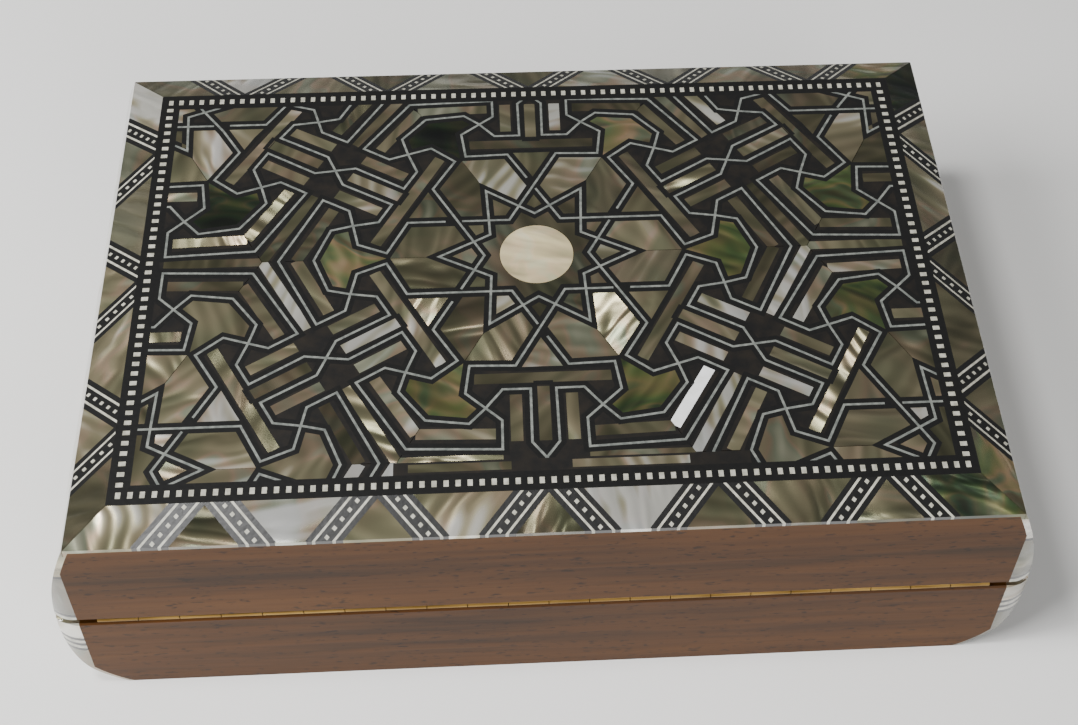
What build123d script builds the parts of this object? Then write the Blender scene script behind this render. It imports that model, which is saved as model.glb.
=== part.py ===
from build123d import *
import math
import os

os.makedirs("parts", exist_ok=True)

# Inlaid jewellery box: a hinged lid over a base, both of beech boards. The lid's top and
# three swelling sides carry mother-of-pearl; the back is plain wood. Millimetres, +Z up,
# +X along the box, +Y towards the front, origin under the middle of the box.

# Overall sizes
overall_length = 241.0
overall_depth = 158.0
overall_height = 69.0
lid_height = 37.5

# Outer form
side_swell = 8.2
swell_height = 24.0
foot_tuck = 13.5
border_width = 9.4
border_drop = 3.4
border_roll = 2.4
back_foot_radius = 4.0
corner_wrap = 6.0
corner_wrap_depth = 2.4

# Boards and lining
inlay_thickness = 1.2
wall_thickness = 9.0
panel_thickness = 5.0
panel_rebate = 4.0
bottom_thickness = 5.0
lining_thickness = 1.6
lining_recess = 1.5

# Hinge
seam_gap = 0.1
knuckle_radius = 1.15
knuckle_clearance = 0.15
knuckle_length = 9.8
knuckle_gap = 0.2
pin_radius = 0.5
pin_clearance = 0.05
leaf_thickness = 0.7
leaf_width = 7.0
hinge_end_margin = 2.6
opening_angle = 95.0
relief_margin = 5.0
screw_head_radius = 1.5
screw_shank_radius = 0.75
screw_length = 7.0
screw_point_length = 1.0
screws_per_leaf = 6

# Strapwork field
strap_width = 3.2
strap_line_width = 0.62
rosette_pitch = 123.5
rosette_offset = 5.0
medallion_radius = 9.6
squeeze_start = 45.0
squeeze_ratio = 0.74
joint_kerf = 0.14
mastic_limit = 7.0

# Dotted frame
frame_width = 5.2
dot_length = 1.2
dot_height = 1.7
dot_pitch = 2.8

# Zigzag border bands
band_width = 6.6
band_line_offset = 1.75
band_line_width = 0.55
band_dot = 0.9
band_dot_pitch = 2.6
band_shift = 8.5
band_spread = 3.9
band_overrun = 2.0
long_side_apexes = 5
short_side_apexes = 3
long_apex_pitch = 40.0
short_apex_pitch = 44.0

# Stringing of the sides, from the seam outwards
string_black = 1.2
string_white = 1.4
lid_line_drop = 15.0
base_string_drop = 8.0
side_tile_length = 24.0

# Places worked out from the sizes above
half_length = overall_length / 2
half_depth = overall_depth / 2
edge_x = half_length - side_swell
edge_y = (overall_depth - side_swell) / 2
lid_centre_y = -side_swell / 2
back_y = lid_centre_y - edge_y
front_edge_y = lid_centre_y + edge_y
seam_z = overall_height - lid_height
flat_x = edge_x - border_width
flat_y = edge_y - border_width
field_x = flat_x - frame_width
field_y = flat_y - frame_width
cavity_x = edge_x - wall_thickness
cavity_back = back_y + wall_thickness
cavity_front = front_edge_y - wall_thickness
corner_x = half_length - corner_wrap
border_foot_z = overall_height - border_drop - border_roll
axis_y = back_y + knuckle_radius + seam_gap
hinge_half = corner_x - hinge_end_margin

# How far cutting shapes run past what they cut, and how close two corners count as one
reach = 2 * half_length
overcut = 1.0
near = 0.01


def side_curve(edge, foot, top_z):
    """One swelling side of a cross-section, drawn from its widest place both up and down."""
    swell = edge + side_swell
    TangentArc((swell, swell_height), (edge, top_z), tangent=(0, 1))
    TangentArc((swell, swell_height), (foot, 0), tangent=(0, -1))


def long_section(inset):
    """The box cut across its length: swelling left and right, sloping border, flat top."""
    top = overall_height - inset
    edge = edge_x - inset
    foot = edge + side_swell - foot_tuck
    with BuildSketch(Plane.XZ) as section:
        with BuildLine():
            side_curve(edge, foot, top - border_drop)
            Line((0, 0), (foot, 0))
            Polyline((edge, top - border_drop), (flat_x, top), (0, top))
            mirror(about=Plane.YZ)
        make_face()
        rolled = [v for v in section.vertices() if abs(v.Z - top + border_drop) < near]
        fillet(rolled, border_roll)
    return section.sketch


def cross_section(inset):
    """The box cut from back to front: flat back, swelling front. The back isn't inset."""
    top = overall_height - inset
    edge = front_edge_y - inset
    foot = edge + side_swell - foot_tuck
    with BuildSketch(Plane.YZ) as section:
        with BuildLine():
            side_curve(edge, foot, top - border_drop)
            Polyline(
                (foot, 0),
                (back_y, 0),
                (back_y, top - border_drop),
                (lid_centre_y - flat_y, top),
                (lid_centre_y + flat_y, top),
                (edge, top - border_drop),
            )
        make_face()
        rolled = [v for v in section.vertices() if v.Y > 0 and abs(v.Z - top + border_drop) < near]
        fillet(rolled, border_roll)
        back_foot = [v for v in section.vertices() if abs(v.Y - back_y) < near and abs(v.Z) < near]
        fillet(back_foot, back_foot_radius)
    return section.sketch


def plan_outline(back_step, wrap):
    """The plan, with both back corners taken off so that the side inlay can wrap round."""
    with BuildSketch() as plan:
        with BuildLine():
            Line((0, back_y), (corner_x, back_y))
            if back_step:
                Line((corner_x, back_y), (corner_x, back_y + back_step))
                Line((corner_x, back_y + back_step), (half_length, back_y + back_step + wrap))
            else:
                TangentArc((corner_x, back_y), (half_length, back_y + wrap), tangent=(1, 0))
            Polyline((half_length, back_y + back_step + wrap), (half_length, half_depth), (0, half_depth))
            mirror(about=Plane.YZ)
        make_face()
    return plan.sketch


def block(x_range, y_range, z_range):
    """A plain rectangular block between the given limits."""
    size = [high - low for low, high in (x_range, y_range, z_range)]
    middle = [(high + low) / 2 for low, high in (x_range, y_range, z_range)]
    return Pos(*middle) * Box(*size, mode=Mode.PRIVATE)


def rectangle(x_range, y_range):
    """A flat rectangular face between the given limits."""
    width = x_range[1] - x_range[0]
    height = y_range[1] - y_range[0]
    middle = ((x_range[0] + x_range[1]) / 2, (y_range[0] + y_range[1]) / 2)
    return (Pos(*middle) * Rectangle(width, height, mode=Mode.PRIVATE)).face()


def prism(face, z_low, z_high):
    """A plan region raised between two heights."""
    return extrude(Pos(0, 0, z_low) * face, z_high - z_low)


# The whole form, and the same form without its inlay
long_outer = long_section(0)
cross_outer = cross_section(0)
plan_outer = plan_outline(0, corner_wrap_depth)
with BuildPart() as outer_form:
    extrude(long_outer, overall_depth, both=True)
    extrude(cross_outer, overall_length, both=True, mode=Mode.INTERSECT)
    extrude(plan_outer, overall_height, mode=Mode.INTERSECT)

long_inner = long_section(inlay_thickness)
cross_inner = cross_section(inlay_thickness)
plan_inner = plan_outline(inlay_thickness, corner_wrap_depth + inlay_thickness)
with BuildPart() as wood_form:
    extrude(long_inner, overall_depth, both=True)
    extrude(cross_inner, overall_length, both=True, mode=Mode.INTERSECT)
    extrude(plan_inner, overall_height, mode=Mode.INTERSECT)


def seam_relief(direction):
    """Groove along the seam for the knuckles, flared at the back so that the lid can turn.

    direction is 1 for the lid's half of the groove and -1 for the base's half.
    """
    flare = math.radians((opening_angle + relief_margin) / 2)
    run = axis_y - back_y + overcut
    rise = direction * run * math.tan(flare)
    with BuildPart() as relief:
        with BuildSketch(Plane.YZ.offset(-reach)):
            with BuildLine():
                Polyline(
                    (axis_y, seam_z),
                    (axis_y - run, seam_z + rise),
                    (axis_y - run, seam_z - direction * seam_gap),
                    (axis_y, seam_z - direction * seam_gap),
                    close=True,
                )
            make_face()
        extrude(amount=2 * reach)
        with Locations(Location((-reach, axis_y, seam_z), (0, 90, 0))):
            Cylinder(
                knuckle_radius + knuckle_clearance,
                2 * reach,
                align=(Align.CENTER, Align.CENTER, Align.MIN),
            )
    return relief.part


lid_slab = block((-reach, reach), (-reach, reach), (seam_z + seam_gap / 2, reach))
base_slab = block((-reach, reach), (-reach, reach), (-overcut, seam_z - seam_gap / 2))
lid_relief = seam_relief(1)
base_relief = seam_relief(-1)

with BuildPart() as lid_wood:
    add(wood_form.part)
    add(lid_slab, mode=Mode.INTERSECT)
    add(lid_relief, mode=Mode.SUBTRACT)

with BuildPart() as base_wood:
    add(wood_form.part)
    add(base_slab, mode=Mode.INTERSECT)
    add(base_relief, mode=Mode.SUBTRACT)

with BuildPart() as lid_skin:
    add(outer_form.part)
    add(wood_form.part, mode=Mode.SUBTRACT)
    add(lid_slab, mode=Mode.INTERSECT)
    add(lid_relief, mode=Mode.SUBTRACT)

with BuildPart() as base_skin:
    add(outer_form.part)
    add(wood_form.part, mode=Mode.SUBTRACT)
    add(base_slab, mode=Mode.INTERSECT)
    add(base_relief, mode=Mode.SUBTRACT)


def sector(side, back_end_x):
    """Plan region that one wall of the box takes up, mitred at the front corners.

    back_end_x is where the back's region ends and the left and right ones begin.
    """
    back_line = back_y - overcut
    if side == "back":
        region = rectangle((-back_end_x, back_end_x), (back_line, cavity_back))
        return prism(region, -overcut, reach)
    if side == "front":
        corners = [
            (-cavity_x, cavity_front),
            (cavity_x, cavity_front),
            (cavity_x + reach, cavity_front + reach),
            (-cavity_x - reach, cavity_front + reach),
        ]
    else:
        sign = 1 if side == "right" else -1
        corners = [
            (sign * back_end_x, back_line),
            (sign * (cavity_x + reach), back_line),
            (sign * (cavity_x + reach), cavity_front + reach),
            (sign * cavity_x, cavity_front),
            (sign * cavity_x, cavity_back),
            (sign * back_end_x, cavity_back),
        ]
    return prism(make_face(Polyline(*corners, close=True).edges()), -overcut, reach)


# The boards meet where the side inlay wraps round; the inlay itself covers the back board's ends
sides = ("back", "front", "left", "right")
wall_sectors = {side: sector(side, corner_x) for side in sides}
inlay_sectors = {side: sector(side, cavity_x - overcut) for side in sides}

# Hinge leaves, pin and screws
knuckle_step = knuckle_length + knuckle_gap
knuckle_count = int(2 * hinge_half / knuckle_step)
hinge_length = knuckle_count * knuckle_step - knuckle_gap
screw_y = axis_y + knuckle_radius + leaf_width / 2
screw_step = (hinge_length - 2 * knuckle_step) / (screws_per_leaf - 1)
screw_xs = [-hinge_length / 2 + knuckle_step + i * screw_step for i in range(screws_per_leaf)]


def screw_set(direction):
    """Countersunk screws of one leaf, heads flush with the leaf's face at the seam."""
    face_z = seam_z + direction * seam_gap / 2
    with BuildPart() as screws:
        for x in screw_xs:
            with BuildSketch(Plane(origin=(x, screw_y, face_z), x_dir=(1, 0, 0), z_dir=(0, -1, 0))):
                with BuildLine():
                    Polyline(
                        (0, 0),
                        (screw_head_radius, 0),
                        (screw_shank_radius, direction * leaf_thickness),
                        (screw_shank_radius, direction * (screw_length - screw_point_length)),
                        (0, direction * screw_length),
                        close=True,
                    )
                make_face()
            revolve(axis=Axis((x, screw_y, seam_z), (0, 0, 1)))
    return screws.part


lid_screws = screw_set(1)
base_screws = screw_set(-1)


def hinge_leaf(direction, screws, first_knuckle, bore_radius):
    """One leaf: a flat strip beside the seam with every second knuckle of the barrel."""
    inner_z = seam_z + direction * seam_gap / 2
    z_range = sorted((inner_z, inner_z + direction * leaf_thickness))
    strip_start = axis_y + knuckle_radius + knuckle_clearance
    with BuildPart() as leaf:
        add(block((-hinge_length / 2, hinge_length / 2), (strip_start, axis_y + leaf_width), z_range))
        for i in range(first_knuckle, knuckle_count, 2):
            start = -hinge_length / 2 + i * knuckle_step
            add(block((start, start + knuckle_length), (axis_y, strip_start), z_range))
            with Locations(Location((start, axis_y, seam_z), (0, 90, 0))):
                Cylinder(knuckle_radius, knuckle_length, align=(Align.CENTER, Align.CENTER, Align.MIN))
        with Locations(Location((0, axis_y, seam_z), (0, 90, 0))):
            Cylinder(bore_radius, hinge_length + 2 * overcut, mode=Mode.SUBTRACT)
        add(screws, mode=Mode.SUBTRACT)
    return leaf.part


hinge_leaf_base = hinge_leaf(-1, base_screws, 0, pin_radius)
hinge_leaf_lid = hinge_leaf(1, lid_screws, 1, pin_radius + pin_clearance)

with BuildPart() as hinge_pin:
    with Locations(Location((-hinge_length / 2, axis_y, seam_z), (0, 90, 0))):
        Cylinder(pin_radius, hinge_length, align=(Align.CENTER, Align.CENTER, Align.MIN))


def leaf_recess(direction, screws):
    """What a back wall gives up to its leaf and screws."""
    z_range = sorted((seam_z, seam_z + direction * (leaf_thickness + seam_gap / 2)))
    return block((-hinge_length / 2, hinge_length / 2), (axis_y, axis_y + leaf_width), z_range) + screws


lid_leaf_recess = leaf_recess(1, lid_screws)
base_leaf_recess = leaf_recess(-1, base_screws)


# Lid boards
panel_z = overall_height - inlay_thickness - panel_thickness
cavity_block = block((-cavity_x, cavity_x), (cavity_back, cavity_front), (-overcut, panel_z))
panel_block = block(
    (-cavity_x - panel_rebate, cavity_x + panel_rebate),
    (cavity_back - panel_rebate, cavity_front + panel_rebate),
    (panel_z, overall_height),
)
with BuildPart() as lid_panel:
    add(lid_wood.part)
    add(panel_block, mode=Mode.INTERSECT)

lid_walls = {}
base_walls = {}
for side, region in wall_sectors.items():
    with BuildPart() as lid_wall:
        add(lid_wood.part)
        add(region, mode=Mode.INTERSECT)
        add(cavity_block, mode=Mode.SUBTRACT)
        add(panel_block, mode=Mode.SUBTRACT)
        if side == "back":
            add(lid_leaf_recess, mode=Mode.SUBTRACT)
    lid_walls[side] = lid_wall
    with BuildPart() as base_wall:
        add(base_wood.part)
        add(region, mode=Mode.INTERSECT)
        add(cavity_block, mode=Mode.SUBTRACT)
        if side == "back":
            add(base_leaf_recess, mode=Mode.SUBTRACT)
    base_walls[side] = base_wall

with BuildPart() as base_bottom:
    add(block((-cavity_x, cavity_x), (cavity_back, cavity_front), (0, bottom_thickness)))


# Velvet-covered lining
def wall_lining(z_low, z_high):
    """Four lining strips standing against the inner faces of the walls."""
    inner_x = cavity_x - lining_thickness
    strips = []
    for sign in (-1, 1):
        xs = sorted((sign * inner_x, sign * cavity_x))
        strips.append(block(xs, (cavity_back, cavity_front), (z_low, z_high)))
    for y_low in (cavity_back, cavity_front - lining_thickness):
        strips.append(block((-inner_x, inner_x), (y_low, y_low + lining_thickness), (z_low, z_high)))
    return Compound(children=strips)


floor_top = bottom_thickness + lining_thickness
with BuildPart() as base_lining_floor:
    add(block((-cavity_x, cavity_x), (cavity_back, cavity_front), (bottom_thickness, floor_top)))

base_lining_walls = wall_lining(floor_top, seam_z - lining_recess)

with BuildPart() as lid_lining_top:
    add(block((-cavity_x, cavity_x), (cavity_back, cavity_front), (panel_z - lining_thickness, panel_z)))

lid_lining_walls = wall_lining(seam_z + lining_recess, panel_z - lining_thickness)


# Flat shapes for the inlay
def ribbon(points, width):
    """A face of constant width along a bent line, mitred at its corners."""
    left = []
    right = []
    for i, point in enumerate(points):
        here = Vector(*point)
        before = (here - Vector(*points[i - 1])).normalized() if i > 0 else None
        after = (Vector(*points[i + 1]) - here).normalized() if i < len(points) - 1 else None
        heading = ((before or after) + (after or before)).normalized()
        side = Vector(-heading.Y, heading.X)
        square = Vector(-(after or before).Y, (after or before).X)
        reach_out = width / 2 / max(side.dot(square), 0.3)
        left.append(here + side * reach_out)
        right.append(here - side * reach_out)
    return make_face(Polyline(*right, *reversed(left), close=True).edges())


# Strapwork. Each path is one sixty-degree unit of the star pattern, drawn from the middle of
# the rosette outwards; its turned and mirrored copies make the whole field.
main_strap = [
    (5.8, 13.5),
    (6.8, 11.8),
    (19.3, 11.8),
    (23.7, 11.8),
    (33.7, 11.8),
    (39.1, 1.7),
    (46.7, 4.8),
    (49.3, 16.5),
    (56.4, 20.5),
    (67.1, 0.0),
    (66.2, -1.8),
]
eye_strap = [(48.1, 11.3), (53.9, 9.9), (58.0, 0.0), (57.2, -1.9)]
hook_strap = [(48.0, 11.3), (41.4, 12.3), (38.0, 18.3), (51.3, 25.8), (53.5, 30.9)]
cell_line = [(31.3, 18.1), (35.2, 11.5)]
bar_line = [(35.0, 20.2), (36.2, 18.1)]
star_strap = [(24.6, -0.5), (25.5, 0.0), (12.0, 6.9), (12.1, 8.9)]
crossing = 3  # a mirrored main strap passes under its neighbour before this point
cell_line_width = 1.2
tile_joint = [(26.0, 0.0), (38.5, 0.0)]

# Pearl bars that lie between the straps, in the same unit. Narrow cells round them hold paste.
cross_bar = [(25.1, 34.1), (42.1, 4.7)]
stem_bar = [(35.9, 20.7), (49.4, 28.5)]
side_bar = [(41.1, 15.8), (52.8, 22.5)]
chevron_bar = [(53.4, 17.0), (62.5, 0.0)]
triangle_centre = rosette_pitch / math.sqrt(3)  # the point midway between three rosettes
shared_bar = [(triangle_centre, 0.0), (58.6, 21.9)]
bar_joint = [(60.5, 0.0), (triangle_centre, 0.0)]
bar_width = 3.0
shared_bar_width = 2.6
narrow_cell = 4.4
star_reach = 34.0

# Chosen tiles, measured from the middle of the lid
abalone_spots = [(-82, 22), (-50, 5), (-30, -37), (-27, 48), (22, -37)]
abalone_spots += [(25, 47), (48, 4), (78, 22), (80, -13)]
bright_strip_spot = (36, -42)
filler_row_x = (-36.5, 48.5)
filler_row_depth = 3.4
filler_strip_margin = 0.6
filler_strip_spans = [(-33.0, -8.5), (6.0, 34.0)]


def turned(points, turn, mirrored):
    """A path turned about the rosette by a whole number of sixths, mirrored first if asked."""
    angle = math.radians(60 * turn)
    flipped = [(x, -y if mirrored else y) for x, y in points]
    cosine = math.cos(angle)
    sine = math.sin(angle)
    return [(x * cosine - y * sine, x * sine + y * cosine) for x, y in flipped]


def placed(points, centre):
    """A path moved to a rosette and squeezed where the field runs out at the front."""
    moved = []
    for x, y in points:
        rise = y + centre[1]
        if rise > squeeze_start:
            rise = squeeze_start + (rise - squeeze_start) * squeeze_ratio
        moved.append((x + centre[0], rise + lid_centre_y + rosette_offset))
    return moved


def reaches_field(points):
    """Whether any of a path lies in or near the field."""
    xs = [x for x, y in points]
    ys = [y - lid_centre_y for x, y in points]
    margin = strap_width
    inside_x = min(xs) < field_x + margin and max(xs) > -field_x - margin
    return inside_x and min(ys) < field_y + margin and max(ys) > -field_y - margin


rosette_centres = [(0.0, 0.0)]
for sixth in range(6):
    bearing = math.radians(30 + 60 * sixth)
    rosette_centres.append((rosette_pitch * math.cos(bearing), rosette_pitch * math.sin(bearing)))

strap_faces = []
line_faces = []
joint_faces = []
bar_faces = []
bar_places = set()
for centre in rosette_centres:
    for turn in range(6):
        for mirrored in (False, True):
            lines = [main_strap, eye_strap, hook_strap, star_strap]
            if mirrored:
                lines = [main_strap[:crossing], main_strap[crossing:]] + lines[1:]
            for path in (main_strap, eye_strap, hook_strap, star_strap):
                points = placed(turned(path, turn, mirrored), centre)
                if reaches_field(points):
                    strap_faces.append(ribbon(points, strap_width))
            for path in lines:
                points = placed(turned(path, turn, mirrored), centre)
                if reaches_field(points):
                    line_faces.append(ribbon(points, strap_line_width))
            for path in (cell_line, bar_line):
                points = placed(turned(path, turn, mirrored), centre)
                if reaches_field(points):
                    strap_faces.append(ribbon(points, cell_line_width))
            bars = [(side_bar, bar_width), (chevron_bar, bar_width), (shared_bar, shared_bar_width)]
            if not mirrored:
                bars += [(cross_bar, bar_width), (stem_bar, bar_width)]
            for path, width in bars:
                points = placed(turned(path, turn, mirrored), centre)
                place = (round(points[0][0] + points[1][0], 1), round(points[0][1] + points[1][1], 1))
                if reaches_field(points) and place not in bar_places:
                    bar_places.add(place)
                    bar_faces.append(ribbon(points, width))
        for path in (tile_joint, bar_joint):
            points = placed(turned(path, turn, False), centre)
            if reaches_field(points):
                joint_faces.append(ribbon(points, joint_kerf))

# The field's regions: straps, the lines inlaid along them, and the cells between
field_y_range = (lid_centre_y - field_y, lid_centre_y + field_y)
field_region = rectangle((-field_x, field_x), field_y_range)
filler_y_range = (field_y_range[0], field_y_range[0] + filler_row_depth)
filler_region = rectangle(filler_row_x, filler_y_range)
filler_strips = [
    rectangle(span, (filler_y_range[0] + filler_strip_margin, filler_y_range[1] - filler_strip_margin))
    for span in filler_strip_spans
]
medallion_centre = (0.0, lid_centre_y + rosette_offset)

with BuildSketch() as straps:
    add(strap_faces)
    add(field_region, mode=Mode.INTERSECT)
    add(filler_region, mode=Mode.SUBTRACT)

with BuildSketch() as strap_lines:
    add(line_faces)
    add(field_region, mode=Mode.INTERSECT)
    add(filler_region, mode=Mode.SUBTRACT)

with BuildSketch() as strap_blacks:
    add(straps.sketch)
    add(strap_lines.sketch, mode=Mode.SUBTRACT)

with BuildSketch() as cells:
    add(field_region)
    add(filler_region, mode=Mode.SUBTRACT)
    add(straps.sketch, mode=Mode.SUBTRACT)
    add(strap_lines.sketch, mode=Mode.SUBTRACT)
    add(joint_faces, mode=Mode.SUBTRACT)
    with Locations(medallion_centre):
        Circle(medallion_radius + joint_kerf, mode=Mode.SUBTRACT)

with BuildSketch() as medallion:
    with Locations(medallion_centre):
        Circle(medallion_radius)

with BuildSketch() as filler:
    add(filler_region)
    add(filler_strips, mode=Mode.SUBTRACT)


def tile_at(faces, spot):
    """The cell whose middle is nearest to a spot measured from the middle of the lid."""
    target = Vector(spot[0], spot[1] + lid_centre_y)
    return min(faces, key=lambda face: (face.center() - target).length)


def is_narrow(cell):
    """Whether a cell is a channel between straps, away from the star's own small cells."""
    perimeter = sum(edge.length for edge in cell.edges())
    middle = cell.center()
    from_star = min(
        math.hypot(middle.X - x, middle.Y - lid_centre_y - rosette_offset - y) for x, y in rosette_centres
    )
    return 2 * cell.area / perimeter < narrow_cell and from_star > star_reach


narrow_cells = [cell for cell in cells.sketch.faces() if is_narrow(cell)]
open_cells = [cell for cell in cells.sketch.faces() if not is_narrow(cell)]

with BuildSketch() as bars:
    add(bar_faces)
    add(narrow_cells, mode=Mode.INTERSECT)

with BuildSketch() as paste:
    add(narrow_cells)
    add(bars.sketch, mode=Mode.SUBTRACT)

bar_cells = [cell for cell in bars.sketch.faces() if cell.area > mastic_limit / 2]
bright_cell = tile_at(bar_cells, bright_strip_spot)
abalone_cells = []
for spot in abalone_spots:
    cell = tile_at(open_cells, spot)
    if cell not in abalone_cells:
        abalone_cells.append(cell)
mastic_cells = list(paste.sketch.faces())
mastic_cells += [cell for cell in bars.sketch.faces() if cell.area <= mastic_limit / 2]
pearl_cells = filler_strips + [cell for cell in bar_cells if cell != bright_cell]
for cell in open_cells:
    if cell.area < mastic_limit:
        mastic_cells.append(cell)
    elif cell not in abalone_cells:
        pearl_cells.append(cell)


# Dotted frame round the field
dot_line_x = (field_x + flat_x) / 2
dot_line_y = (field_y + flat_y) / 2
dot_faces = []
columns = int(2 * dot_line_x / dot_pitch)
rows = int(2 * dot_line_y / dot_pitch)
for i in range(columns + 1):
    x = -dot_line_x + i * 2 * dot_line_x / columns
    for sign in (-1, 1):
        dot_faces.append(Pos(x, lid_centre_y + sign * dot_line_y) * Rectangle(dot_length, dot_height))
for i in range(1, rows):
    y = lid_centre_y - dot_line_y + i * 2 * dot_line_y / rows
    for sign in (-1, 1):
        dot_faces.append(Pos(sign * dot_line_x, y) * Rectangle(dot_height, dot_length))

with BuildSketch() as frame_dots:
    add(dot_faces)

flat_region = rectangle((-flat_x, flat_x), (lid_centre_y - flat_y, lid_centre_y + flat_y))
with BuildSketch() as frame_black:
    add(flat_region)
    add(field_region, mode=Mode.SUBTRACT)
    add(frame_dots.sketch, mode=Mode.SUBTRACT)


# Zigzag bands of the sloping border
def border_point(side, along, out):
    """Plan position of a point along a side of the frame and a distance out from it."""
    if side == "back":
        return (along, lid_centre_y - flat_y - out)
    if side == "front":
        return (along, lid_centre_y + flat_y + out)
    sign = 1 if side == "right" else -1
    return (sign * (flat_x + out), lid_centre_y + along)


def border_sector(side):
    """The mitred strip of border on one side of the frame."""
    length = flat_x if side in ("back", "front") else flat_y
    out = border_width + overcut
    corners = [(-length, 0), (length, 0), (length + out, out), (-length - out, out)]
    points = [border_point(side, along, away) for along, away in corners]
    return make_face(Polyline(*points, close=True).edges())


def offset_line(along, slant, shift):
    """A line across the border, slanting to one side and moved sideways by shift."""
    tilt = math.atan2(band_shift, border_width)
    moved = along + shift / math.cos(tilt)
    steps = (-band_overrun, border_width + band_overrun)
    return [(moved + slant * (band_spread + band_shift * out / border_width), out) for out in steps]


band_faces = []
band_lines = []
band_dots = []
for side in ("back", "front", "left", "right"):
    count, pitch = (long_side_apexes, long_apex_pitch)
    if side in ("left", "right"):
        count, pitch = (short_side_apexes, short_apex_pitch)
    sector_face = border_sector(side)
    for i in range(count):
        apex = (i - (count - 1) / 2) * pitch
        for slant in (-1, 1):
            path = [border_point(side, *point) for point in offset_line(apex, slant, 0)]
            band_faces.append(ribbon(path, band_width) & sector_face)
            for shift in (-band_line_offset, band_line_offset):
                line = [border_point(side, *point) for point in offset_line(apex, slant, shift)]
                band_lines.append(ribbon(line, band_line_width) & sector_face)
            start = Vector(*path[0])
            heading = Vector(*path[1]) - start
            turn = math.degrees(math.atan2(heading.Y, heading.X))
            for k in range(int(heading.length / band_dot_pitch)):
                spot = start + heading.normalized() * (k + 0.5) * band_dot_pitch
                dot = Pos(spot.X, spot.Y) * Rot(0, 0, turn) * Rectangle(band_dot, band_dot)
                if sector_face.distance_to(dot) == 0:
                    band_dots.append(dot & sector_face)

outer_x = edge_x + overcut
outer_y = edge_y + overcut
outer_region = rectangle((-outer_x, outer_x), (lid_centre_y - outer_y, lid_centre_y + outer_y))
mitre_faces = []
for sign_x in (-1, 1):
    for sign_y in (-1, 1):
        corner = (sign_x * (flat_x - overcut), lid_centre_y + sign_y * (flat_y - overcut))
        far_corner = (sign_x * outer_x, lid_centre_y + sign_y * outer_y)
        mitre_faces.append(ribbon([corner, far_corner], joint_kerf))

with BuildSketch() as border_lines:
    add(band_lines)
    add(band_dots)
    add(outer_region, mode=Mode.INTERSECT)

with BuildSketch() as border_black:
    add(band_faces)
    add(outer_region, mode=Mode.INTERSECT)
    add(border_lines.sketch, mode=Mode.SUBTRACT)

with BuildSketch() as border_cells:
    add(outer_region)
    add(flat_region, mode=Mode.SUBTRACT)
    add(band_faces, mode=Mode.SUBTRACT)
    add(border_lines.sketch, mode=Mode.SUBTRACT)
    add(mitre_faces, mode=Mode.SUBTRACT)

# The tiles at the two right-hand corners are of darker shell
corner_reach = short_apex_pitch / 3
shell_cells = []
border_pearl_cells = []
for cell in border_cells.sketch.faces():
    middle = cell.center()
    at_end = middle.X > flat_x - corner_reach
    if at_end and abs(middle.Y - lid_centre_y) > flat_y - corner_reach:
        shell_cells.append(cell)
    else:
        border_pearl_cells.append(cell)


# Inlay solids
def raised(faces, z_low, z_high):
    """Plan regions raised into separate solids."""
    return [prism(face, z_low, z_high) for face in faces]


with BuildPart() as top_skin:
    add(lid_skin.part)
    add(block((-reach, reach), (-reach, reach), (border_foot_z, reach)), mode=Mode.INTERSECT)

inlay_z = overall_height - inlay_thickness


def field_inlay(faces):
    """Flat inlay in the level field."""
    return Compound(children=raised(faces, inlay_z, overall_height))


def border_inlay(faces):
    """Inlay that follows the border down its slope and over its edge."""
    solids = []
    for upright in raised(faces, border_foot_z - overcut, overall_height + overcut):
        solids += (upright & top_skin.part).solids()
    return Compound(children=solids)


def band_slabs(layers, top_z, colour):
    """Heights of one colour in a list of layers counted down from the top."""
    slabs = []
    z = top_z
    for layer_colour, height in layers:
        if layer_colour == colour:
            slabs.append(block((-reach, reach), (-reach, reach), (z - height, z)))
        z -= height
    return slabs


def side_tile_joints(side):
    """Fine upright joints between the tiles of one side."""
    length = overall_length if side == "front" else overall_depth
    count = int(length / side_tile_length)
    joints = []
    for i in range(1, count):
        place = -length / 2 + i * length / count
        line = (place - joint_kerf / 2, place + joint_kerf / 2)
        if side == "front":
            joints.append(block(line, (cavity_front, reach), (-overcut, overall_height)))
        else:
            joints.append(block((-reach, reach), line, (-overcut, overall_height)))
    return joints


lid_lower_z = seam_z + seam_gap / 2
lid_side_height = border_foot_z - lid_lower_z
upper_tiles = overall_height - lid_line_drop - border_foot_z
lid_layers = [("pearl", -upper_tiles), ("black", string_black)]
lid_layers.append(("pearl", lid_side_height + upper_tiles - 3 * string_black - string_white))
lid_layers += [("black", string_black), ("white", string_white), ("black", string_black)]
base_top_z = seam_z - seam_gap / 2
base_layers = [("pearl", base_string_drop), ("black", string_black), ("white", string_white)]
base_layers += [("black", string_black), ("white", string_white), ("black", string_black)]
base_layers.append(("pearl", base_top_z - sum(height for colour, height in base_layers)))


def side_strings(skin, layers, top_z, colour):
    """The lines of one colour that run round the three swelling sides."""
    with BuildPart() as strings:
        add(band_slabs(layers, top_z, colour))
        add(skin, mode=Mode.INTERSECT)
        add([inlay_sectors[side] for side in swelling_sides], mode=Mode.INTERSECT)
    return strings.part


def side_tiles(skin, layers, top_z, side):
    """The tiles of one swelling side, between its lines."""
    with BuildPart() as tiles:
        add(band_slabs(layers, top_z, "pearl"))
        add(skin, mode=Mode.INTERSECT)
        add(inlay_sectors[side], mode=Mode.INTERSECT)
        add(side_tile_joints(side), mode=Mode.SUBTRACT)
    return tiles.part


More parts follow.
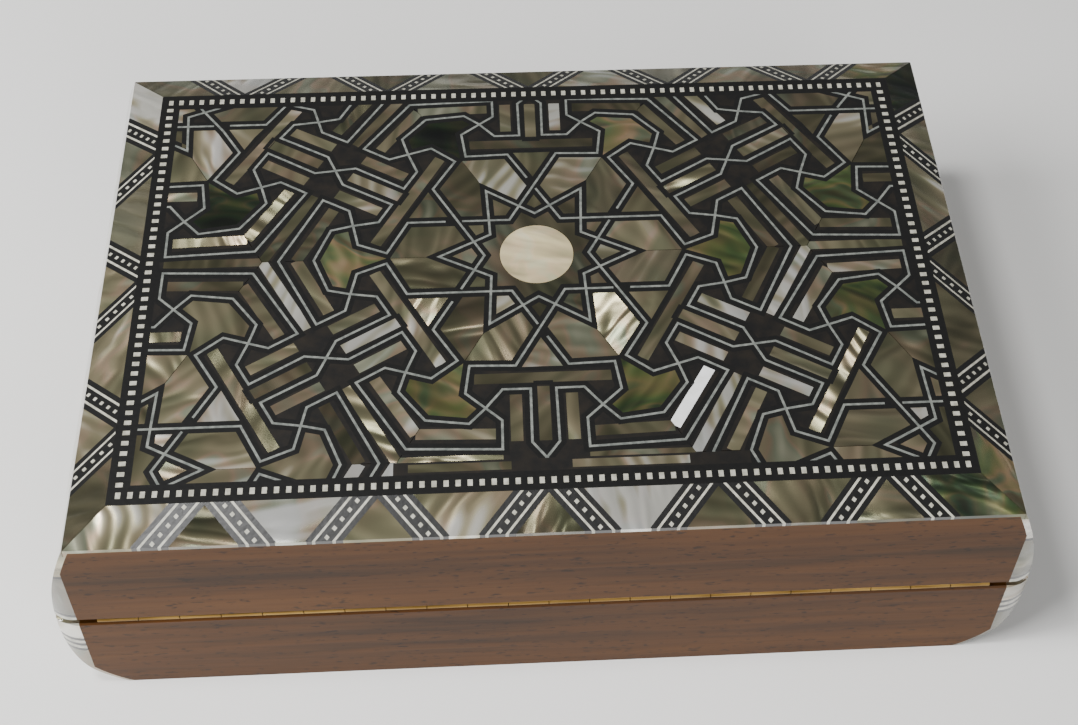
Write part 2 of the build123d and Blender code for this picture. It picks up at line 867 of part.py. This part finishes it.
swelling_sides = ("left", "right", "front")
pieces = {
    "base_bottom": base_bottom.part,
    "base_lining_floor": base_lining_floor.part,
    "base_lining_walls": base_lining_walls,
    "lid_panel": lid_panel.part,
    "lid_lining_top": lid_lining_top.part,
    "lid_lining_walls": lid_lining_walls,
    "hinge_leaf_base": hinge_leaf_base,
    "hinge_leaf_lid": hinge_leaf_lid,
    "hinge_pin": hinge_pin.part,
    "hinge_screws_base": base_screws,
    "hinge_screws_lid": lid_screws,
    "lid_field_pearl": field_inlay(pearl_cells),
    "lid_field_abalone": field_inlay(abalone_cells),
    "lid_field_bright_strip": field_inlay([bright_cell]),
    "lid_field_mastic": field_inlay(mastic_cells + list(filler.sketch.faces())),
    "lid_field_black": field_inlay(strap_blacks.sketch.faces()),
    "lid_field_white": field_inlay(strap_lines.sketch.faces()),
    "lid_medallion": field_inlay(medallion.sketch.faces()),
    "lid_frame_black": field_inlay(frame_black.sketch.faces()),
    "lid_frame_dots": field_inlay(frame_dots.sketch.faces()),
    "lid_border_pearl": border_inlay(border_pearl_cells),
    "lid_border_shell": border_inlay(shell_cells),
    "lid_border_black": border_inlay(border_black.sketch.faces()),
    "lid_border_white": border_inlay(border_lines.sketch.faces()),
}
for side in ("back",) + swelling_sides:
    pieces["lid_wall_" + side] = lid_walls[side].part
    pieces["base_wall_" + side] = base_walls[side].part
halves = {
    "lid": (lid_skin.part, lid_layers, border_foot_z),
    "base": (base_skin.part, base_layers, base_top_z),
}
for half, (skin, layers, top_z) in halves.items():
    for side in swelling_sides:
        pieces[f"{half}_side_pearl_{side}"] = side_tiles(skin, layers, top_z, side)
    for colour in ("black", "white"):
        pieces[f"{half}_strings_{colour}"] = side_strings(skin, layers, top_z, colour)

for name, piece in pieces.items():
    piece.label = name
    export_step(piece, f"parts/{name}.step")
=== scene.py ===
import math
import bmesh
import bpy
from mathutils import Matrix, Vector, noise


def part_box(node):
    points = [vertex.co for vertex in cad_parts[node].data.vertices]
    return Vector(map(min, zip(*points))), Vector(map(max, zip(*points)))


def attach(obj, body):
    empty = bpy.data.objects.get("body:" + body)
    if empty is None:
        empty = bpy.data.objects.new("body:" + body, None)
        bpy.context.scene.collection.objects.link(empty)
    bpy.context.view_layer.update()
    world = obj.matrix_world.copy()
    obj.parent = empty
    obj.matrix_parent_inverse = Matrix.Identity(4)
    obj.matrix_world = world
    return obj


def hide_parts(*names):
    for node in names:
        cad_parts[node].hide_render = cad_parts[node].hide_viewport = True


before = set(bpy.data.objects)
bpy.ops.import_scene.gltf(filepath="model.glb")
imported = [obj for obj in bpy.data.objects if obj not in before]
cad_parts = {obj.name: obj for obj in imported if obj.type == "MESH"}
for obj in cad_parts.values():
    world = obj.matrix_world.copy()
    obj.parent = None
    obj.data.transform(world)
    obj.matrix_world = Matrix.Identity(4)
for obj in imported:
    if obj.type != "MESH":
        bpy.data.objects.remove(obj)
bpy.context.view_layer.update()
print("frame loaded")


# small helpers
def srgb(code):
    """sRGB hex to linear rgba"""
    parts = [int(code[i:i + 2], 16) / 255 for i in (1, 3, 5)]
    linear = [c / 12.92 if c <= 0.04045 else ((c + 0.055) / 1.055) ** 2.4 for c in parts]
    return (*linear, 1.0)


def addNode(tree, kind, settings=None, links=None):
    """a node with its settings and its input links or values"""
    node = tree.nodes.new(kind)
    for key, value in (settings or {}).items():
        setattr(node, key, value)
    for key, value in (links or {}).items():
        if isinstance(value, bpy.types.NodeSocket):
            tree.links.new(value, node.inputs[key])
        else:
            node.inputs[key].default_value = value
    return node


def newMaterial(name):
    """material with an empty Principled surface; returns it, its tree, shader and object position"""
    material = bpy.data.materials.new(name)
    material.use_nodes = True
    tree = material.node_tree
    shader = tree.nodes["Principled BSDF"]
    place = addNode(tree, "ShaderNodeTexCoord").outputs["Object"]
    return material, tree, shader, place


def setRamp(node, stops):
    """colour ramp stops as (position, hex)"""
    ramp = node.color_ramp
    while len(ramp.elements) < len(stops):
        ramp.elements.new(0.5)
    for element, (position, code) in zip(ramp.elements, stops):
        element.position = position
        element.color = srgb(code)
    return node


def lacquer(shader, settings):
    """the clear polish that covers the whole box"""
    shader.inputs["Coat Weight"].default_value = settings["coat"]
    shader.inputs["Coat Roughness"].default_value = settings["coatRoughness"]
    shader.inputs["Coat IOR"].default_value = 1.5


def give(material, *names):
    """material onto the CAD nodes of these names"""
    for name in names:
        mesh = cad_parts[name].data
        mesh.materials.clear()
        mesh.materials.append(material)


# mother-of-pearl: thin nacre tiles, each cut from another shell, so every tile has its own
# tone, growth lines and tilt of sheen; broad soft bands of olive, rose and pale blue
pearl = {
    "tones": [(0.0, "#35362a"), (0.25, "#5d5b49"), (0.5, "#8a8570"), (0.68, "#b0a992"), (0.82, "#f0eee8")],
    "tileShare": 0.62, "cloudShare": 0.8, "bandShare": 0.1,
    "cloudSize": 0.016, "bandSize": 0.0045,
    "tints": [(0.3, "#6f7a55"), (0.42, "#8d8a6c"), (0.52, "#a39880"), (0.58, "#c4a69b"), (0.66, "#9fb3ae"), (0.8, "#dfe7ea")],
    "tintShare": 0.6,
    "tilt": 0.6, "metal": 0.72, "roughness": 0.26, "waviness": 0.35,
    "coat": 1.0, "coatRoughness": 0.04,
}


def makePearl(name, settings):
    material, tree, shader, place = newMaterial(name)
    number = addNode(tree, "ShaderNodeAttribute", {"attribute_name": "tile"}).outputs["Fac"]
    tileHash = addNode(tree, "ShaderNodeTexWhiteNoise", {"noise_dimensions": "1D"}, {"W": number})
    # each tile looks at its own part of the shell, turned its own way
    spin = addNode(tree, "ShaderNodeMath", {"operation": "MULTIPLY"}, {0: tileHash.outputs["Value"], 1: 44.0})
    turned = addNode(tree, "ShaderNodeVectorRotate", {"rotation_type": "Z_AXIS"}, {"Vector": place, "Angle": spin.outputs[0]})
    moved = addNode(tree, "ShaderNodeVectorMath", {"operation": "ADD"}, {0: turned.outputs[0], 1: tileHash.outputs["Color"]})
    stretched = addNode(tree, "ShaderNodeMapping", None, {"Vector": moved.outputs[0], "Scale": (0.45, 1.0, 1.0)})
    cloud = addNode(tree, "ShaderNodeTexNoise", None, {"Vector": stretched.outputs[0], "Scale": 1 / settings["cloudSize"], "Detail": 1.5, "Distortion": 0.9})
    bend = addNode(tree, "ShaderNodeVectorMath", {"operation": "SCALE"}, {0: cloud.outputs["Color"], "Scale": settings["cloudSize"] * 0.8})
    bent = addNode(tree, "ShaderNodeVectorMath", {"operation": "ADD"}, {0: moved.outputs[0], 1: bend.outputs[0]})
    growth = addNode(tree, "ShaderNodeTexWave", {"bands_direction": "Y"}, {"Vector": bent.outputs[0], "Scale": 0.314 / settings["bandSize"], "Distortion": 1.2, "Detail": 1.0})
    tone = addNode(tree, "ShaderNodeMath", {"operation": "MULTIPLY_ADD"}, {0: tileHash.outputs["Value"], 1: settings["tileShare"], 2: 0.5 - settings["tileShare"] / 2})
    for pattern, share in ((cloud.outputs["Fac"], settings["cloudShare"]), (growth.outputs["Fac"], settings["bandShare"])):
        centred = addNode(tree, "ShaderNodeMath", {"operation": "MULTIPLY_ADD"}, {0: pattern, 1: share, 2: -share / 2})
        tone = addNode(tree, "ShaderNodeMath", {"operation": "ADD"}, {0: tone.outputs[0], 1: centred.outputs[0]})
    base = setRamp(addNode(tree, "ShaderNodeValToRGB", None, {"Fac": tone.outputs[0]}), settings["tones"])
    # olive, rose and pale blue washes that drift over the shell
    drift = addNode(tree, "ShaderNodeTexNoise", None, {"Vector": bent.outputs[0], "Scale": 0.7 / settings["cloudSize"], "Detail": 1.0, "Distortion": 1.5})
    wash = setRamp(addNode(tree, "ShaderNodeValToRGB", None, {"Fac": drift.outputs["Fac"]}), settings["tints"])
    mixed = addNode(tree, "ShaderNodeMix", {"data_type": "RGBA", "blend_type": "OVERLAY"}, {"Factor": settings["tintShare"]})
    tree.links.new(base.outputs["Color"], mixed.inputs[6])
    tree.links.new(wash.outputs["Color"], mixed.inputs[7])
    tree.links.new(mixed.outputs[2], shader.inputs["Base Color"])
    # nacre layers run at a slight angle to the cut face, another in each tile
    normal = addNode(tree, "ShaderNodeNewGeometry").outputs["Normal"]
    centredHash = addNode(tree, "ShaderNodeVectorMath", {"operation": "SUBTRACT"}, {0: tileHash.outputs["Color"], 1: (0.5, 0.5, 0.5)})
    lean = addNode(tree, "ShaderNodeVectorMath", {"operation": "SCALE"}, {0: centredHash.outputs[0], "Scale": settings["tilt"]})
    leaning = addNode(tree, "ShaderNodeVectorMath", {"operation": "ADD"}, {0: normal, 1: lean.outputs[0]})
    unit = addNode(tree, "ShaderNodeVectorMath", {"operation": "NORMALIZE"}, {0: leaning.outputs[0]})
    wavy = addNode(tree, "ShaderNodeBump", None, {"Height": cloud.outputs["Fac"], "Strength": settings["waviness"], "Distance": 0.006, "Normal": unit.outputs[0]})
    lined = addNode(tree, "ShaderNodeBump", None, {"Height": growth.outputs["Fac"], "Strength": settings["waviness"], "Distance": 0.0003, "Normal": wavy.outputs[0]})
    tree.links.new(lined.outputs[0], shader.inputs["Normal"])
    tree.links.new(normal, shader.inputs["Coat Normal"])
    shader.inputs["Metallic"].default_value = settings["metal"]
    shader.inputs["Roughness"].default_value = settings["roughness"]
    lacquer(shader, settings)
    return material


pearlMaterial = makePearl("mother-of-pearl", pearl)

# the disc at the middle is one bright, even piece of shell
medallion = dict(
    pearl, tones=[(0.0, "#b3a886"), (0.4, "#d6cba8"), (0.7, "#e8dfc6"), (1.0, "#f6f0e2")],
    tilt=0.0, cloudShare=1.2, cloudSize=0.010, tintShare=0.35, metal=0.15,
)
medallionMaterial = makePearl("mother-of-pearl disc", medallion)

# abalone: darker shell with green, blue-grey and brown in it
abalone = dict(
    pearl, tones=[(0.0, "#101410"), (0.3, "#3b4430"), (0.55, "#7b7f56"), (0.8, "#b3a684"), (1.0, "#ded2ba")],
    tints=[(0.3, "#333f40"), (0.4, "#5a8a60"), (0.48, "#8f9870"), (0.56, "#bda193"), (0.64, "#5f8480"), (0.72, "#4a3b2c")],
    tintShare=0.7, cloudSize=0.012,
)
abaloneMaterial = makePearl("abalone shell", abalone)

# black stringing and paste: dyed resin, faintly uneven under the polish
blackInlay = {"colour": "#050504", "fleck": "#0d0c0a", "roughness": 0.35, "coat": 1.0, "coatRoughness": 0.03}


def makeFlecked(name, settings, scale):
    material, tree, shader, place = newMaterial(name)
    speck = addNode(tree, "ShaderNodeTexNoise", None, {"Vector": place, "Scale": scale, "Detail": 5.0})
    ramp = setRamp(addNode(tree, "ShaderNodeValToRGB", None, {"Fac": speck.outputs["Fac"]}), [(0.35, settings["colour"]), (0.75, settings["fleck"])])
    tree.links.new(ramp.outputs["Color"], shader.inputs["Base Color"])
    bump = addNode(tree, "ShaderNodeBump", None, {"Height": speck.outputs["Fac"], "Strength": 0.15, "Distance": 0.0003})
    tree.links.new(bump.outputs[0], shader.inputs["Normal"])
    shader.inputs["Roughness"].default_value = settings["roughness"]
    lacquer(shader, settings)
    return material


blackMaterial = makeFlecked("black stringing", blackInlay, 900.0)
whiteInlay = {"colour": "#9d9b8c", "fleck": "#cfccbe", "roughness": 0.4, "coat": 1.0, "coatRoughness": 0.03}
whiteMaterial = makeFlecked("bone stringing", whiteInlay, 700.0)
lineInlay = {"colour": "#5f635f", "fleck": "#8a8d86", "roughness": 0.4, "coat": 1.0, "coatRoughness": 0.03}
lineMaterial = makeFlecked("grey bone stringing", lineInlay, 700.0)
# painted highlight: a strip coloured near pure white that stands in for the strong reflection of the nacre in one tile
glintStripInlay = {"colour": "#e9e9e6", "fleck": "#ffffff", "roughness": 0.3, "coat": 1.0, "coatRoughness": 0.03}
glintStripMaterial = makeFlecked("painted glint strip", glintStripInlay, 300.0)
pasteInlay = {"colour": "#060504", "fleck": "#1c160e", "roughness": 0.4, "coat": 1.0, "coatRoughness": 0.04}
pasteMaterial = makeFlecked("brown filling paste", pasteInlay, 260.0)
print("shell and stringing")

# lacquered beech: straight grain with short dark rays, under a satin polish
beech = {
    "dark": "#2f1b04", "mid": "#4a2b0a", "light": "#583610", "ray": "#1a0d02",
    "grainPerMetre": 55.0, "stretch": 0.06, "raysPerMetre": 420.0,
    "roughness": 0.5, "specular": 0.15, "coat": 0.08, "coatRoughness": 0.25,
}


def makeBeech(name, settings):
    material, tree, shader, place = newMaterial(name)
    along = addNode(tree, "ShaderNodeMapping", None, {"Vector": place, "Scale": (settings["stretch"], 1.0, 1.0)})
    grain = addNode(tree, "ShaderNodeTexNoise", None, {"Vector": along.outputs[0], "Scale": settings["grainPerMetre"] * 6, "Detail": 6.0, "Roughness": 0.6, "Distortion": 0.4})
    broad = addNode(tree, "ShaderNodeTexNoise", None, {"Vector": along.outputs[0], "Scale": settings["grainPerMetre"], "Detail": 3.0})
    sumUp = addNode(tree, "ShaderNodeMath", {"operation": "MULTIPLY_ADD"}, {0: broad.outputs["Fac"], 1: 0.6, 2: 0.0})
    total = addNode(tree, "ShaderNodeMath", {"operation": "MULTIPLY_ADD"}, {0: grain.outputs["Fac"], 1: 0.45, 2: sumUp.outputs[0]})
    base = setRamp(addNode(tree, "ShaderNodeValToRGB", None, {"Fac": total.outputs[0]}), [(0.36, settings["dark"]), (0.52, settings["mid"]), (0.68, settings["light"])])
    # rays: short dashes along the grain, about 2 mm long
    dash = addNode(tree, "ShaderNodeMapping", None, {"Vector": place, "Scale": (0.28, 1.0, 1.0)})
    rays = addNode(tree, "ShaderNodeTexNoise", None, {"Vector": dash.outputs[0], "Scale": settings["raysPerMetre"] * 3, "Detail": 1.0})
    mask = addNode(tree, "ShaderNodeMapRange", None, {"Value": rays.outputs["Fac"], "From Min": 0.64, "From Max": 0.72, "To Min": 0.0, "To Max": 0.75})
    mixed = addNode(tree, "ShaderNodeMix", {"data_type": "RGBA"}, {"Factor": mask.outputs[0]})
    tree.links.new(base.outputs["Color"], mixed.inputs[6])
    mixed.inputs[7].default_value = srgb(settings["ray"])
    tree.links.new(mixed.outputs[2], shader.inputs["Base Color"])
    bump = addNode(tree, "ShaderNodeBump", None, {"Height": grain.outputs["Fac"], "Strength": 0.2, "Distance": 0.0004})
    tree.links.new(bump.outputs[0], shader.inputs["Normal"])
    shader.inputs["Roughness"].default_value = settings["roughness"]
    shader.inputs["Specular IOR Level"].default_value = settings["specular"]
    lacquer(shader, settings)
    return material


beechMaterial = makeBeech("lacquered beech", beech)

# brass of the hinge: rolled and drawn, so fine scratches run along it
brass = {"colour": "#6f5426", "worn": "#a5854a", "roughness": 0.34, "scratchPerMetre": 900.0}


def makeBrass(name, settings):
    material, tree, shader, place = newMaterial(name)
    drawn = addNode(tree, "ShaderNodeMapping", None, {"Vector": place, "Scale": (0.08, 1.0, 1.0)})
    scratch = addNode(tree, "ShaderNodeTexNoise", None, {"Vector": drawn.outputs[0], "Scale": settings["scratchPerMetre"], "Detail": 4.0})
    ramp = setRamp(addNode(tree, "ShaderNodeValToRGB", None, {"Fac": scratch.outputs["Fac"]}), [(0.3, settings["colour"]), (0.7, settings["worn"])])
    tree.links.new(ramp.outputs["Color"], shader.inputs["Base Color"])
    rough = addNode(tree, "ShaderNodeMapRange", None, {"Value": scratch.outputs["Fac"], "To Min": settings["roughness"] - 0.08, "To Max": settings["roughness"] + 0.15})
    tree.links.new(rough.outputs[0], shader.inputs["Roughness"])
    shader.inputs["Metallic"].default_value = 1.0
    return material


brassMaterial = makeBrass("brass", brass)

# velvet of the lining: cut pile over card, bright at grazing angles
velvet = {"deep": "#3a0710", "lift": "#6a1220", "pilePerMetre": 2600.0, "crushPerMetre": 45.0, "roughness": 0.9}


def makeVelvet(name, settings):
    material, tree, shader, place = newMaterial(name)
    crush = addNode(tree, "ShaderNodeTexNoise", None, {"Vector": place, "Scale": settings["crushPerMetre"], "Detail": 4.0, "Distortion": 0.8})
    pile = addNode(tree, "ShaderNodeTexNoise", None, {"Vector": place, "Scale": settings["pilePerMetre"], "Detail": 2.0})
    ramp = setRamp(addNode(tree, "ShaderNodeValToRGB", None, {"Fac": crush.outputs["Fac"]}), [(0.3, settings["deep"]), (0.7, settings["lift"])])
    tree.links.new(ramp.outputs["Color"], shader.inputs["Base Color"])
    bump = addNode(tree, "ShaderNodeBump", None, {"Height": pile.outputs["Fac"], "Strength": 0.5, "Distance": 0.0006})
    tree.links.new(bump.outputs[0], shader.inputs["Normal"])
    shader.inputs["Roughness"].default_value = settings["roughness"]
    shader.inputs["Sheen Weight"].default_value = 0.9
    shader.inputs["Sheen Roughness"].default_value = 0.35
    shader.inputs["Sheen Tint"].default_value = srgb("#c46a72")
    return material


velvetMaterial = makeVelvet("velvet", velvet)
print("wood, brass and velvet")



def numberTiles(*names):
    """a number for each separate tile of a node, kept on its faces for the shell materials"""
    for name in names:
        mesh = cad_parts[name].data
        owner = {}

        def root(key):
            while owner[key] != key:
                key = owner[key]
            return key

        keys = [tuple(round(c, 6) for c in vertex.co) for vertex in mesh.vertices]
        for key in keys:
            owner[key] = key
        for polygon in mesh.polygons:
            first = root(keys[polygon.vertices[0]])
            for i in polygon.vertices[1:]:
                owner[root(keys[i])] = first
        numbers = {}
        tile = mesh.attributes.new("tile", "FLOAT", "FACE")
        for polygon in mesh.polygons:
            key = root(keys[polygon.vertices[0]])
            tile.data[polygon.index].value = numbers.setdefault(key, len(numbers) + 1)


# materials onto the CAD nodes
halves = ("lid", "base")
sides = ("left", "right", "front")
shellNodes = ["lid_field_pearl", "lid_border_pearl", "lid_field_abalone", "lid_border_shell", "lid_medallion"]
shellNodes += [f"{half}_side_pearl_{side}" for half in halves for side in sides]
numberTiles(*shellNodes)
give(beechMaterial, "base_bottom", "lid_panel", *[f"{half}_wall_{side}" for half in halves for side in ("back",) + sides])
give(pearlMaterial, "lid_field_pearl", "lid_border_pearl", *[f"{half}_side_pearl_{side}" for half in halves for side in sides])
give(abaloneMaterial, "lid_field_abalone", "lid_border_shell")
give(medallionMaterial, "lid_medallion")
give(glintStripMaterial, "lid_field_bright_strip")
give(pasteMaterial, "lid_field_mastic")
give(blackMaterial, "lid_field_black", "lid_frame_black", "lid_border_black", "lid_strings_black", "base_strings_black")
give(lineMaterial, "lid_field_white")
give(whiteMaterial, "lid_frame_dots", "lid_border_white", "lid_strings_white", "base_strings_white")
give(brassMaterial, "hinge_leaf_base", "hinge_leaf_lid", "hinge_pin", "hinge_screws_base", "hinge_screws_lid")

# velvet-covered lining: thin card pads with turned, rounded edges and a slightly uneven face
lining = {"edgeRadius": 0.0007, "cell": 0.004, "crush": 0.00022, "clear": 0.0001}


def liningPad(name, low, high, body):
    """a rounded slab with a softly uneven face between two corners"""
    mesh = bpy.data.meshes.new(name)
    shape = bmesh.new()
    bmesh.ops.create_cube(shape, size=1.0)
    size = Vector(high) - Vector(low)
    middle = (Vector(high) + Vector(low)) / 2
    for vertex in shape.verts:
        vertex.co = Vector([c * s for c, s in zip(vertex.co, size)]) + middle
    bmesh.ops.bevel(shape, geom=shape.edges[:], offset=lining["edgeRadius"], segments=3, profile=0.5, affect="EDGES")
    for axis in range(3):
        cuts = int(size[axis] / lining["cell"])
        for i in range(1, cuts):
            point = Vector((0, 0, 0))
            normal = Vector((0, 0, 0))
            point[axis] = low[axis] + size[axis] * i / cuts
            normal[axis] = 1
            geometry = shape.verts[:] + shape.edges[:] + shape.faces[:]
            bmesh.ops.bisect_plane(shape, geom=geometry, plane_co=point, plane_no=normal)
    thin = min(range(3), key=lambda axis: size[axis])
    for vertex in shape.verts:
        vertex.co[thin] += lining["crush"] * (noise.noise(vertex.co * 60) - 0.6) * (1 if vertex.co[thin] > middle[thin] else -1)
    shape.to_mesh(mesh)
    shape.free()
    for polygon in mesh.polygons:
        polygon.use_smooth = True
    pad = bpy.data.objects.new(name, mesh)
    bpy.context.collection.objects.link(pad)
    mesh.materials.append(velvetMaterial)
    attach(pad, body)
    return pad


for node, body in (("base_lining_floor", "base"), ("lid_lining_top", "lid")):
    low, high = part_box(node)
    pad = liningPad(f"velvet_{body}_{'floor' if body == 'base' else 'top'}", low, high, body)
    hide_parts(node)

thickness = 0.0016
for node, body in (("base_lining_walls", "base"), ("lid_lining_walls", "lid")):
    low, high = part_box(node)
    strips = {
        "left": ((low[0], low[1], low[2]), (low[0] + thickness, high[1], high[2])),
        "right": ((high[0] - thickness, low[1], low[2]), (high[0], high[1], high[2])),
        "back": ((low[0] + thickness, low[1], low[2]), (high[0] - thickness, low[1] + thickness, high[2])),
        "front": ((low[0] + thickness, high[1] - thickness, low[2]), (high[0] - thickness, high[1], high[2])),
    }
    for side, (stripLow, stripHigh) in strips.items():
        pad = liningPad(f"velvet_{body}_{side}", stripLow, stripHigh, body)
        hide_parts(node)
print("lining")

# floor
floor = {"size": 6.0, "colour": "#ecebe8", "roughness": 0.7}
floorMesh = bpy.data.meshes.new("floor")
half = floor["size"] / 2
floorMesh.from_pydata([(-half, -half, 0), (half, -half, 0), (half, half, 0), (-half, half, 0)], [], [(0, 1, 2, 3)])
floorObject = bpy.data.objects.new("floor", floorMesh)
bpy.context.collection.objects.link(floorObject)
floorMaterial, floorTree, floorShader, floorPlace = newMaterial("pale studio floor")
grime = addNode(floorTree, "ShaderNodeTexNoise", None, {"Vector": floorPlace, "Scale": 3.0, "Detail": 3.0})
floorRamp = setRamp(addNode(floorTree, "ShaderNodeValToRGB", None, {"Fac": grime.outputs["Fac"]}), [(0.3, floor["colour"]), (0.7, "#f2f1ef")])
floorTree.links.new(floorRamp.outputs["Color"], floorShader.inputs["Base Color"])
floorShader.inputs["Roughness"].default_value = floor["roughness"]
floorMesh.materials.append(floorMaterial)

# soft studio light: a large sheet overhead, a weaker one from behind the viewer, pale surroundings
lights = {
    "left": {"at": (-0.8, -0.3, 0.8), "aim": (0, 0, 0.03), "size": 0.6, "power": 18.0},
    "near": {"at": (0.3, -0.9, 0.6), "aim": (0, 0, 0.03), "size": 0.5, "power": 5.0},
    "above": {"at": (-0.32, -0.1, 0.95), "aim": (0, 0, 0.05), "size": 0.14, "power": 5.0},
}
for name, lamp in lights.items():
    data = bpy.data.lights.new(name, "AREA")
    data.size = lamp["size"]
    data.energy = lamp["power"]
    lampObject = bpy.data.objects.new(name, data)
    lampObject.location = lamp["at"]
    lampObject.rotation_euler = (Vector(lamp["aim"]) - Vector(lamp["at"])).to_track_quat("-Z", "Y").to_euler()
    bpy.context.collection.objects.link(lampObject)
world = bpy.data.worlds.new("studio")
world.use_nodes = True
world.node_tree.nodes["Background"].inputs["Color"].default_value = srgb("#f4f5f7")
world.node_tree.nodes["Background"].inputs["Strength"].default_value = 0.2
bpy.context.scene.world = world

# camera
camera = {"at": (-0.0133, -0.2927, 0.4372), "turn": (43.503, -1.094, -3.131), "lens": 59.92, "shift": (-0.0325, -0.2435)}
cameraData = bpy.data.cameras.new("camera")
cameraData.lens = camera["lens"]
cameraData.shift_x, cameraData.shift_y = camera["shift"]
cameraObject = bpy.data.objects.new("camera", cameraData)
cameraObject.location = camera["at"]
cameraObject.rotation_euler = [math.radians(angle) for angle in camera["turn"]]
bpy.context.collection.objects.link(cameraObject)
bpy.context.scene.camera = cameraObject
print("stage")
